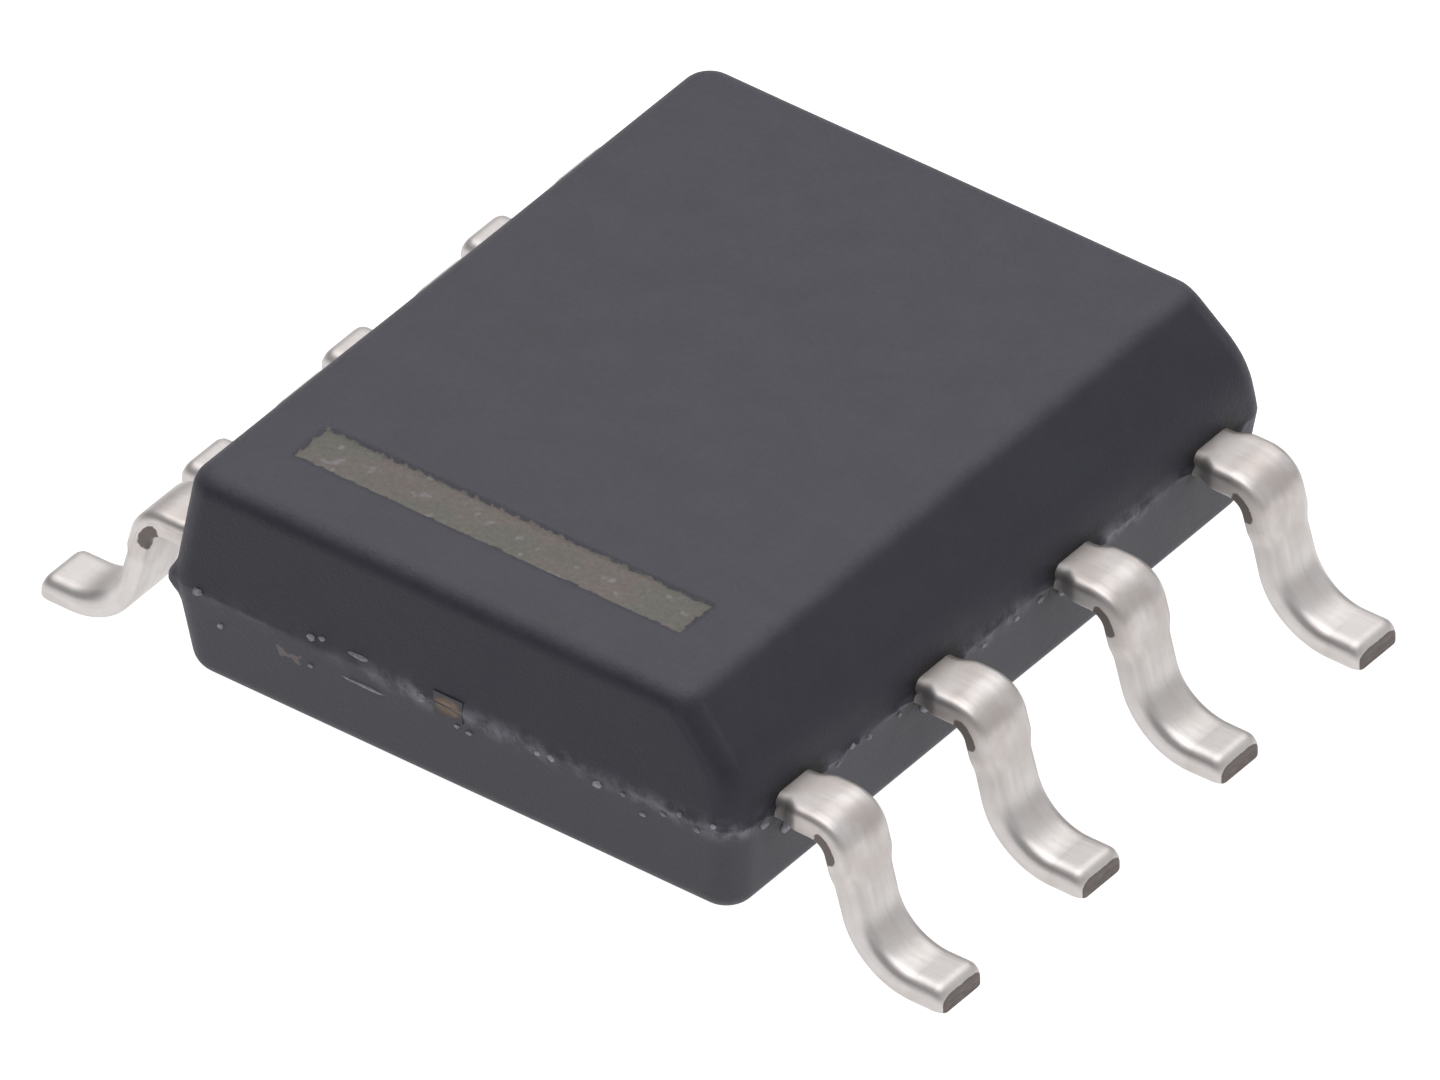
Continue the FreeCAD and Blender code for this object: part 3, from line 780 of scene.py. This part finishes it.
def flake_shells(spots, seed):
    """Small broken lumps, each a sphere over latitude and longitude,
    flattened, turned and made uneven.

    spots holds for each lump its middle and its half sizes along the
    surface, upright and outward, and the outward direction.
    """
    rng = np.random.default_rng(seed)
    lat = np.linspace(0, math.pi, 7)
    lon = np.linspace(0, 2 * math.pi, 11)[:-1]
    points, faces, rims = [], [], []
    for middle, half, out in spots:
        bumps = 1 + 0.45 * (rng.random((5, 10)) - 0.5)
        sin_lat = np.sin(lat[1:-1])[:, None]
        along = sin_lat * np.cos(lon) * bumps
        upright = sin_lat * np.sin(lon) * bumps
        outward = np.cos(lat[1:-1])[:, None] * bumps
        skew = rng.uniform(-0.9, 0.9) * min(1, half[1] / half[0]) ** 2
        c, s = math.cos(skew), math.sin(skew)
        along, upright = (along * half[0] * c - upright * half[1] * s,
                          along * half[0] * s + upright * half[1] * c)
        place = middle + np.stack(
            [along, upright, outward * half[2]], -1) @ np.array(
                [(-out[1], out[0], 0.0), (0.0, 0.0, 1.0), (*out, 0.0)])
        start = sum(len(p) for p in points)
        numbers = start + np.arange(50).reshape(5, 10)
        points.append(place.reshape(-1, 3))
        faces.append(grid_faces(numbers[::-1], closed=True))
        rims += [numbers[0].tolist(), numbers[-1, ::-1].tolist()]
    return np.concatenate(points), np.concatenate(faces), rims


# Flakes of flash that the photo shows, on the near end and on the side of
# leads 1 to 4: place along the side, height, and half width and height.
NEAR_FLAKES = (
    (-0.94, 0.944, 0.022, 0.018), (-0.87, 0.966, 0.018, 0.012),
    (-0.62, 0.960, 0.055, 0.012), (-0.96, 0.731, 0.016, 0.012),
    (-0.59, 0.765, 0.120, 0.009), (-0.18, 0.884, 0.026, 0.020),
    (0.052, 0.790, 0.016, 0.012), (0.134, 0.779, 0.018, 0.013),
    (0.610, 0.869, 0.018, 0.014), (0.708, 0.880, 0.020, 0.014),
    (1.020, 0.843, 0.028, 0.020), (1.193, 0.855, 0.012, 0.010),
    (1.322, 0.771, 0.017, 0.012), (1.467, 0.851, 0.018, 0.013),
    (1.588, 0.904, 0.016, 0.012), (1.700, 0.849, 0.018, 0.014),
    (1.812, 0.924, 0.016, 0.012), (-1.72, 0.899, 0.030, 0.020),
    (-1.58, 0.718, 0.018, 0.014))
SIDE_FLAKES = (
    (-1.95, 0.699, 0.045, 0.035), (-0.70, 0.746, 0.045, 0.032),
    (0.558, 0.769, 0.040, 0.030), (-0.95, 0.838, 0.014, 0.010),
    (-1.23, 0.858, 0.018, 0.014), (-1.39, 0.898, 0.020, 0.014),
    (-1.51, 0.843, 0.018, 0.014), (-0.18, 0.837, 0.018, 0.012),
    (0.116, 0.837, 0.018, 0.012), (0.337, 0.832, 0.020, 0.014),
    (-2.18, 0.850, 0.030, 0.024))


def flake_spots(body):
    """Where broken flash is left: the listed flakes, and random ones of
    the same kind on the other two sides. Each has its middle, its half
    sizes and its outward direction."""
    part, slope = body.parting, math.tan(body.draft)
    half_x, half_y = body.width / 2, body.run / 2
    rng = np.random.default_rng(5)

    def more(count, half_side):
        """Random flakes along one side, clear of its corners."""
        reach = half_side - 0.6
        return [(rng.uniform(-reach, reach), part + rng.normal(-0.03, 0.04),
                 size, 0.7 * size)
                for size in rng.uniform(0.014, 0.03, count)]

    spots, grow = [], 1.25
    for picks, is_end, way in (
            (NEAR_FLAKES, True, -1), (SIDE_FLAKES, False, 1),
            (more(12, half_x), True, 1), (more(14, half_y), False, -1)):
        for along, z, wide, tall in picks:
            wide, tall = wide * grow, tall * grow
            half = (wide, tall, 0.6 * min(wide, tall) + 0.004)
            deep = abs(z - part) * slope
            spots.append((
                (along, way * (half_y - deep), z) if is_end
                else (way * (half_x - deep), along, z), half,
                (0.0, way) if is_end else (way, 0.0)))
    return spots


def around_body(z, x, y, cos, sin, body, lead):
    """What the sides' flash and masks go by: each column's distance round
    the body and the whole way round, its x and y at the parting line, how
    far it is from the nearest lead's middle, whether it faces a lead, and
    how much less flash it has, on the near end towards leads 5 to 8."""
    widest = np.argmin(np.abs(z - body.parting))
    path = np.stack([x[widest], y[widest]], 1)
    steps = np.linalg.norm(np.roll(path, -1, 0) - path, axis=1)
    row = (np.arange(4) - 1.5) * lead.pitch
    return SimpleNamespace(
        way=summed(steps)[:-1], span=steps.sum(), x=x[widest], y=y[widest],
        from_lead=np.abs(y[widest][:, None] - row[None]).min(1),
        sideways=np.abs(cos) > FACING,
        quiet=eased((-0.05 - x[widest]) / 0.8) * np.clip(-sin, 0, 1))


def side_relief(z, cos, sin, path, body):
    """How far each point of the sides stands out of the drafted face: the
    flash, a bell-shaped lump of it at one corner, and a low swell."""
    up = (z - body.parting)[:, None]
    beside = bell(path.from_lead - 0.24, 0.05)
    leads_near = np.where(path.sideways, beside, 0.0)
    out = flash_out(path.way, path.span, z, body.parting, leads_near)
    out = out * (1 - 0.75 * path.quiet)
    tie = (np.abs(path.x) < 0.14) & (np.abs(sin) > FACING)
    out = np.where(tie[None, :], 0.0, out) * body.flash
    # One lump of flash beside the near corner of leads 5 to 8.
    lump = bell(path.y + body.run / 2 - 0.09, 0.06)
    lump = np.where(cos < -0.6, lump, 0.0)
    out = out + 0.05 * (lump[None, :] * bell(up + 0.05, 0.07))
    # A long, low swell keeps the faces from looking machined flat.
    return out + 0.004 * (wander(path.way, 0.9, 21, path.span) - 0.5)


def side_masks(z, cos, sin, path, body, lead):
    """Masks of the finish on the sides. pale keeps the compound's own colour
    at 1 and lets in the painted shade of the upper sides at 0: it is 1 on
    the lower half and the top edge, less on the lower half of the ends, and
    two painted highlights run down each corner. A film is left along the
    parting line, and gap paints shade round each lead where it leaves the
    body."""
    up = (z - body.parting)[:, None]
    # Painted light and shade: below a ragged line round the parting line the
    # lower half keeps the full colour, as if lit from the table, and the upper
    # sides above it take the painted shade; on the ends the lower half takes
    # some painted shade too.
    ragged = 0.07 * (wander(path.way, 0.15, 31, path.span) - 0.5)
    lit_lower_half = eased((ragged[None, :] - up) / 0.05 + 0.5)
    lit_lower_half = lit_lower_half * (1 - 0.45 * np.abs(sin))[None, :]
    # The top edge keeps the full colour, clear of the painted shade.
    lit_top_edge = eased((z[:, None] - body.top + 0.07) / 0.06)
    # Painted highlights: two paler streaks down each corner, lifting the
    # painted shade there.
    turned = np.maximum(np.abs(cos), np.abs(sin))
    corner_highlight = 0.4 * bell(turned - 0.93, 0.035)[None, :]
    corner_highlight = corner_highlight * eased((up - 0.1) / 0.35)
    # pale: 1 where no painted shade falls, 0 where it is full.
    pale = np.maximum(np.maximum(lit_lower_half, lit_top_edge),
                      corner_highlight * (1 - lit_top_edge))
    patchy = wander(path.way, 0.3, 32, path.span)
    film = bell(up + 0.01, 0.06) * (
        patchy * (1 - 0.8 * path.quiet))[None, :]
    # Painted shade round each lead where it leaves the body: the gap mask is 1
    # over the lead's section and fades about 0.05 mm round it, on the sides
    # that face the leads.
    off = np.maximum(path.from_lead[None, :] - lead.width / 2,
                     np.abs(up) - lead.thick / 2)
    gap = bell(np.clip(off, 0, None), 0.05)
    return {"pale": pale, "film": film, "gap": gap * path.sideways[None, :]}


def mould_piece(chip):
    """The moulded body: stacked levels, closed by a grid on top that sinks
    at the bar and one below that sinks at the ejector mark."""
    body, lead = in_mm(chip.body), in_mm(chip.lead)
    z, left, right, end, radius = body_levels(body)
    margin, step, thin, corner_cells = 0.05, 0.038, 0.012, 5
    bar_x = -body.width / 2 + np.array([0, body.bar_run]) + body.bar_side
    bar_y = -body.run / 2 + np.array([0, body.bar_wide]) + body.bar_in
    x_lines = cell_lines(left[-1] + margin, right[-1] - margin, step,
                         bar_x, thin)
    y_lines = cell_lines(margin - end[-1], end[-1] - margin, step,
                         bar_y, thin)
    f, g, cos, sin = ring_plan(x_lines, y_lines, corner_cells)

    low_x, high_x = (left + radius)[:, None], (right - radius)[:, None]
    reach, r = (end - radius)[:, None], radius[:, None]
    x = (1 - f) * low_x + f * high_x + r * cos
    y = (g - 0.5) * 2 * reach + r * sin
    path = around_body(z, x, y, cos, sin, body, lead)
    relief = side_relief(z, cos, sin, path, body)
    rings = np.stack([x + cos * relief, y + sin * relief,
                      np.broadcast_to(z[:, None], x.shape)], -1)

    gx, gy = np.meshgrid(x_lines, y_lines)
    sunk = ((gx > bar_x[0]) & (gx < bar_x[1])
            & (gy > bar_y[0]) & (gy < bar_y[1]))
    bar = body.top - body.bar_deep * sunk
    off = (body.eject / 2 - np.hypot(gx, gy)) / 0.05
    dent = body.under + body.eject_deep * eased(off + 0.5)
    points = np.concatenate([rings.reshape(-1, 3)] + [
        np.stack([gx, gy, height], -1).reshape(-1, 3)
        for height in (bar, dent)])

    numbers = np.arange(x.size).reshape(x.shape)
    upper = x.size + np.arange(gx.size).reshape(gx.shape)
    lower = upper + upper.size
    faces = np.concatenate([
        grid_faces(numbers, closed=True),
        grid_faces(np.stack([numbers[-1], grid_rim(upper)]), closed=True),
        grid_faces(upper),
        grid_faces(np.stack([grid_rim(lower), numbers[0]]), closed=True),
        grid_faces(lower)[:, ::-1]])

    lump, lump_faces, lump_rims = flake_shells(flake_spots(body), 3)
    slots = np.repeat([0, 1], [len(faces), len(lump_faces)])
    faces = np.concatenate([faces, lump_faces + len(points)])
    rims = [[n + len(points) for n in ring] for ring in lump_rims]
    # The flats and the flakes are pale, free of the painted shade, and bare
    # of film and of the painted shade round the leads.
    rest = np.ones(2 * upper.size + len(lump))
    marks = {name: np.concatenate([mask.ravel(), rest * (name == "pale")])
             for name, mask in side_masks(z, cos, sin, path, body,
                                          lead).items()}
    made = make_piece(
        "moulded_body", np.concatenate([points, lump]), faces,
        [material("moulding_compound", chip),
         material("broken_compound", chip)],
        slots=slots, rims=rims, marks=marks)
    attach(made, "root")
    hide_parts("mould_body")


def strip_path(body, lead):
    """The middle line of a lead from its inner tip to its foot's end.

    The heading falls from level to the riser's slope over the upper bend
    and rises back over the lower one; the line is the running sum of the
    heading's cosine and sine. Returns the distance along the line, x, z,
    the heading, and the distances where the parts of the lead begin.
    """
    fall = math.pi / 2 - lead.lean
    up, low = lead.bend_up, lead.bend_low
    level = body.width / 2 + lead.shoulder - lead.tip
    drop = (body.parting - lead.thick / 2
            - (up + low) * (1 - math.cos(fall)))
    marks = summed([level, up * fall, drop / math.sin(fall),
                    low * fall, lead.foot])
    fine = np.linspace(0, marks[-1], 6001)
    heading = np.interp(fine, marks, [0, 0, -fall, -fall, 0, 0])
    step = fine[1]
    middle = (heading[1:] + heading[:-1]) / 2
    x = lead.tip + summed(np.cos(middle)) * step
    z = body.parting + summed(np.sin(middle)) * step
    return fine, x, z, heading, marks


def strip_section():
    """The outline of a lead's cross-section as shares: f and g from -1 to
    1 across and up between the corner arcs, and the arcs' directions."""
    quarter = math.pi / 2
    arc = np.linspace(0, quarter, 6)
    corners = np.array([(1, 1), (-1, 1), (-1, -1), (1, -1), (1, 1)])
    sides = []
    for side, count in enumerate((8, 4, 8, 4)):
        share = np.append(0 * arc, np.arange(1, count) / count)[:, None]
        angle = side * quarter + np.append(arc, [quarter] * (count - 1))
        sides.append(np.column_stack([
            corners[side] * (1 - share) + corners[side + 1] * share,
            np.cos(angle), np.sin(angle)]))
    return np.concatenate(sides).T


def lead_marks(along, marks, body_at, foot_left, f, g):
    """Marks of the finish on a lead: where bending wore its plating, and
    where the metal was cut, beside the upper bend and at the foot's end.
    A shear smears the upper part of a cut and breaks the lower part."""
    bend = np.interp(along, [body_at, marks[1] + 0.1, marks[2] + 0.05,
                             marks[2] + 0.3, marks[3], marks[4] - 0.1,
                             marks[4]], [1, 1, 1, 0.2, 0, 0.45, 0])
    # The bend mark also runs in a faint line where the foot starts.
    bend = bend + 0.5 * bell(along - marks[4], 0.016)
    broken = (np.abs(f) > 0.99) * np.clip(0.55 - g, 0, 1)
    stub = np.interp(along, [marks[1] + 0.02, marks[1] + 0.08,
                             marks[2] + 0.02, marks[2] + 0.08],
                     [0, 1, 1, 0])
    parted = eased(1.25 - foot_left / 0.12)
    cut = np.maximum(stub[:, None] * broken[None, :], parted[:, None])
    return {"bend": np.broadcast_to(bend[:, None], cut.shape).ravel(),
            "cut": cut.ravel()}


def lead_piece(number, chip):
    """One lead: a rounded section carried along its path.

    The section's half width is the landing's, then the neck's taper, then
    the lead's, and a little more along the stub that the cut dambar left.
    """
    body, lead = in_mm(chip.body), in_mm(chip.lead)
    fine, path_x, path_z, heading, marks = strip_path(body, lead)
    half, land, nose = lead.width / 2, lead.landing, lead.round_end
    neck = land + lead.neck
    body_at = body.width / 2 - lead.tip
    stub_a = body_at + lead.stub_gap
    stub_b = marks[2] + lead.stub_run
    soft = 0.12
    along = np.unique(np.concatenate([[0, 0.01, 0.02]] + [
        np.linspace(start, stop, count) for start, stop, count in (
            (0.03, land, 12), (land, neck, 5), (neck, stub_a - soft, 18),
            (stub_a - soft, stub_a, 9), (stub_a, marks[1], 5),
            (marks[1], marks[2], 22), (marks[2], stub_b, 6),
            (stub_b, stub_b + soft, 9), (stub_b + soft, marks[3], 10),
            (marks[3], marks[4], 34), (marks[4], marks[5] - nose, 8))] + [
        marks[5] - nose * (1 - np.sin(np.linspace(0, math.pi / 2, 9)))]))
    along = along[np.concatenate([[True], np.diff(along) > 1e-6])]
    x = np.interp(along, fine, path_x)
    z = np.interp(along, fine, path_z)
    head = np.interp(along, fine, heading)

    stub = eased(np.interp(
        along, [stub_a - soft, stub_a, stub_b, stub_b + soft], [0, 1, 1, 0]))
    waist = (eased((along - body_at) / 0.05 + 1)
             * eased((stub_a - along) / 0.14))
    # The foot's end is cut with a rounded upper edge.
    left = np.clip((marks[5] - along) / nose, 0, 1)
    tuck = nose * (1 - np.sqrt(np.clip(1 - (1 - left) ** 2, 0, 1)))
    drawn = 0.006 * (wander(along, 0.35, 40 + number) - 0.5)
    wide = (np.interp(along, [0, land, neck],
                      [lead.landing_wide / 2] * 2 + [half])
            + stub * lead.stub_out - waist * lead.waist + drawn
            - tuck * 0.5)
    row = (number - 1) % 4
    jog = {0: 1, 3: -1}.get(row, 0) * lead.jog
    middle = np.interp(along, [0, land, neck], [jog, jog, 0])

    f, g, cos, sin = strip_section()
    upper = lead.round_top - stub * lead.stub_sharp
    r = np.where(g[None, :] > 0, upper[:, None], lead.round_low)
    thick = lead.thick / 2
    across = f * (wide[:, None] - r) + r * cos
    raise_ = g * (thick - r) + r * sin
    raise_ = raise_ - tuck[:, None] * (raise_ + thick) / (2 * thick)
    points = np.stack([x[:, None] - np.sin(head)[:, None] * raise_,
                       middle[:, None] + across,
                       z[:, None] + np.cos(head)[:, None] * raise_], -1)
    round_at = summed(np.hypot(np.diff(across, axis=1),
                               np.diff(raise_, axis=1)).mean(0))
    uv = np.stack(np.broadcast_arrays(along[:, None], round_at[None, :]),
                  -1)
    numbers = np.arange(across.size).reshape(across.shape)

    place_y = (row - 1.5) * lead.pitch
    way = 1 if number <= 4 else -1
    points = ((points.reshape(-1, 3) + np.array([0, place_y, 0]))
              * np.array([way, way, 1]))
    made = make_piece(
        "lead_%d" % number, points,
        grid_faces(numbers, closed=True)[:, ::-1],
        [material("satin_plating", chip), material("sheared_metal", chip)],
        rims=[numbers[0].tolist(), numbers[-1, ::-1].tolist()],
        uv=uv.reshape(-1, 2),
        marks=lead_marks(along, marks, body_at, left, f, g))
    hole_x = lead.tip + land - lead.hole_in
    pierce(made, way * hole_x, way * (jog + place_y), lead.hole / 2,
           body.parting, lead.thick)
    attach(made, "root")
    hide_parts("pin_%d_lead" % number)


def pierce(piece, x, y, radius, z, thick):
    """Cut a round hole through a piece with a Boolean, then keep the
    result as the piece's own mesh."""
    angle = np.linspace(0, 2 * math.pi, 33)[:-1]
    heights = np.array([z - thick, z + thick])
    rings = np.stack(np.broadcast_arrays(
        x + radius * np.cos(angle), y + radius * np.sin(angle),
        heights[:, None]), -1)
    numbers = np.arange(64).reshape(2, 32)
    drill = make_piece("drill", rings.reshape(-1, 3),
                       grid_faces(numbers, closed=True),
                       [piece.data.materials[0]],
                       rims=[numbers[0, ::-1].tolist(),
                             numbers[1].tolist()])
    cut = piece.modifiers.new("anchor hole", "BOOLEAN")
    cut.operation, cut.solver, cut.object = "DIFFERENCE", "EXACT", drill
    for item in (piece, drill):
        item.scale = (1 / MM,) * 3
    bpy.context.view_layer.update()
    graph = bpy.context.evaluated_depsgraph_get()
    mesh = bpy.data.meshes.new_from_object(piece.evaluated_get(graph))
    piece.modifiers.clear()
    piece.scale = (1, 1, 1)
    piece.data = mesh
    bpy.data.objects.remove(drill)


# ---------------------------------------------------------------- stage

# Half the table's side and how far it lies under the feet, in
# millimetres, the camera's sensor in its own millimetres, and the height
# that the camera aims at.
TABLE_HALF, TABLE_GAP = 90.0, 0.002
SENSOR = 36.0
AIM_HEIGHT = 0.8 * MM

# Each light's name, place, aim, width and height in millimetres, and power.
LIGHTS = (
    ("overhead", (-5, 10, 75), (0, 0, 0), 90, 90, 0.060),
    ("behind", (-55, 65, 55), (0, 0, 1), 80, 60, 0.012),
    ("front_right", (60, -20, 30), (0, 0, 1), 40, 30, 0.002),
    ("back_right", (48, 50, 36), (0, 0, 1), 80, 45, 0.007),
)


def stage_floor(chip):
    """The light table: a square card under the feet."""
    side = np.linspace(-TABLE_HALF, TABLE_HALF, 13)
    gx, gy = np.meshgrid(side, side)
    points = np.stack([gx, gy, np.full_like(gx, -TABLE_GAP)], -1)
    numbers = np.arange(gx.size).reshape(gx.shape)
    floor = make_piece("table", points.reshape(-1, 3), grid_faces(numbers),
                       [material("light_table", chip)])


def softbox(name, place, aim, width, height, power):
    """A soft area light that looks at a point, in millimetres."""
    lamp = bpy.data.lights.new(name, "AREA")
    lamp.shape, lamp.size, lamp.size_y = "RECTANGLE", width * MM, height * MM
    lamp.energy = power
    made = bpy.data.objects.new(name, lamp)
    bpy.context.scene.collection.objects.link(made)
    made.location = Vector(place) * MM
    look = (Vector(aim) - Vector(place)).to_track_quat("-Z", "Y")
    made.rotation_euler = look.to_euler()


def stage_camera(stage):
    """The camera, from its azimuth, elevation and roll round the chip."""
    facing = (Matrix.Rotation(stage.azimuth, 4, "Z")
              @ Matrix.Rotation(math.pi / 2 - stage.elevation, 4, "X"))
    aside = Vector((stage.shift_right, stage.shift_up, stage.distance))
    lens = bpy.data.cameras.new("camera")
    lens.sensor_width = SENSOR
    lens.lens = SENSOR * stage.distance / stage.view_width
    lens.clip_start, lens.clip_end = 0.01, 5.0
    made = bpy.data.objects.new("camera", lens)
    bpy.context.scene.collection.objects.link(made)
    made.matrix_world = (
        Matrix.Translation(Vector((0, 0, AIM_HEIGHT)) + facing @ aside)
        @ facing @ Matrix.Rotation(stage.roll, 4, "Z"))
    bpy.context.scene.camera = made


def stage_room():
    """The lights and the pale room round them."""
    for light in LIGHTS:
        softbox(*light)
    world = bpy.data.worlds.new("room")
    world.use_nodes = True
    room = world.node_tree.nodes["Background"].inputs
    room["Color"].default_value = (0.96, 0.97, 1.0, 1.0)
    room["Strength"].default_value = 0.3
    bpy.context.scene.world = world
    bpy.context.scene.view_settings.view_transform = "Standard"


# ------------------------------------------------------------ operators

class CHIP_OT_body(Operator):
    """Make the moulded body"""
    bl_idname = "chip.body"
    bl_label = "Moulded body"

    def execute(self, context):
        mould_piece(context.scene.chip)
        return {"FINISHED"}


class CHIP_OT_leads(Operator):
    """Make the eight gull-wing leads"""
    bl_idname = "chip.leads"
    bl_label = "Leads"

    def execute(self, context):
        for number in PINS:
            lead_piece(number, context.scene.chip)
        return {"FINISHED"}


class CHIP_OT_inside(Operator):
    """Finish the paddle, the die and its wires"""
    bl_idname = "chip.inside"
    bl_label = "Inside"

    def execute(self, context):
        finishes = {"die_paddle": "frame_copper",
                    "die_attach": "silver_glue", "silicon_die": "silicon"}
        finishes.update({"bond_wire_%d" % number: "gold_wire"
                         for number in PINS})
        for node, finish in finishes.items():
            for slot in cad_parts[node].material_slots:
                slot.material = material(finish, context.scene.chip)
        return {"FINISHED"}


class CHIP_OT_stage(Operator):
    """Set up the light table, the lights and the camera"""
    bl_idname = "chip.stage"
    bl_label = "Stage"

    def execute(self, context):
        chip = context.scene.chip
        stage_floor(chip)
        stage_camera(chip.stage)
        stage_room()
        return {"FINISHED"}


class CHIP_PT_sidebar(Panel):
    """The chip's sizes, colours and steps"""
    bl_idname = "CHIP_PT_sidebar"
    bl_label = "Chip"
    bl_space_type = "VIEW_3D"
    bl_region_type = "UI"
    bl_category = "Chip"

    def draw(self, context):
        for step in STEPS:
            self.layout.operator(step.bl_idname)
        chip = context.scene.chip
        for part in (chip.body, chip.lead, chip.finish, chip.stage):
            box = self.layout.box()
            box.label(text=part.bl_rna.description)
            for name in part.__annotations__:
                box.prop(part, name)


class ChipSettings(PropertyGroup):
    """All the settings of the chip."""
    body: PointerProperty(type=ChipBodySizes)
    lead: PointerProperty(type=ChipLeadSizes)
    finish: PointerProperty(type=ChipFinish)
    stage: PointerProperty(type=ChipStage)


STEPS = (CHIP_OT_body, CHIP_OT_leads, CHIP_OT_inside, CHIP_OT_stage)
CLASSES = (ChipBodySizes, ChipLeadSizes, ChipFinish, ChipStage,
           ChipSettings) + STEPS + (CHIP_PT_sidebar,)


def register():
    """Make the classes and the settings known to Blender."""
    for item in CLASSES:
        bpy.utils.register_class(item)
    bpy.types.Scene.chip = PointerProperty(type=ChipSettings)


def unregister():
    """Take them away again."""
    del bpy.types.Scene.chip
    for item in reversed(CLASSES):
        bpy.utils.unregister_class(item)


def main():
    """Make every piece and the stage."""
    register()
    bpy.ops.chip.body()
    bpy.ops.chip.leads()
    bpy.ops.chip.inside()
    bpy.ops.chip.stage()
    bpy.context.view_layer.update()


if __name__ == "__main__":
    main()
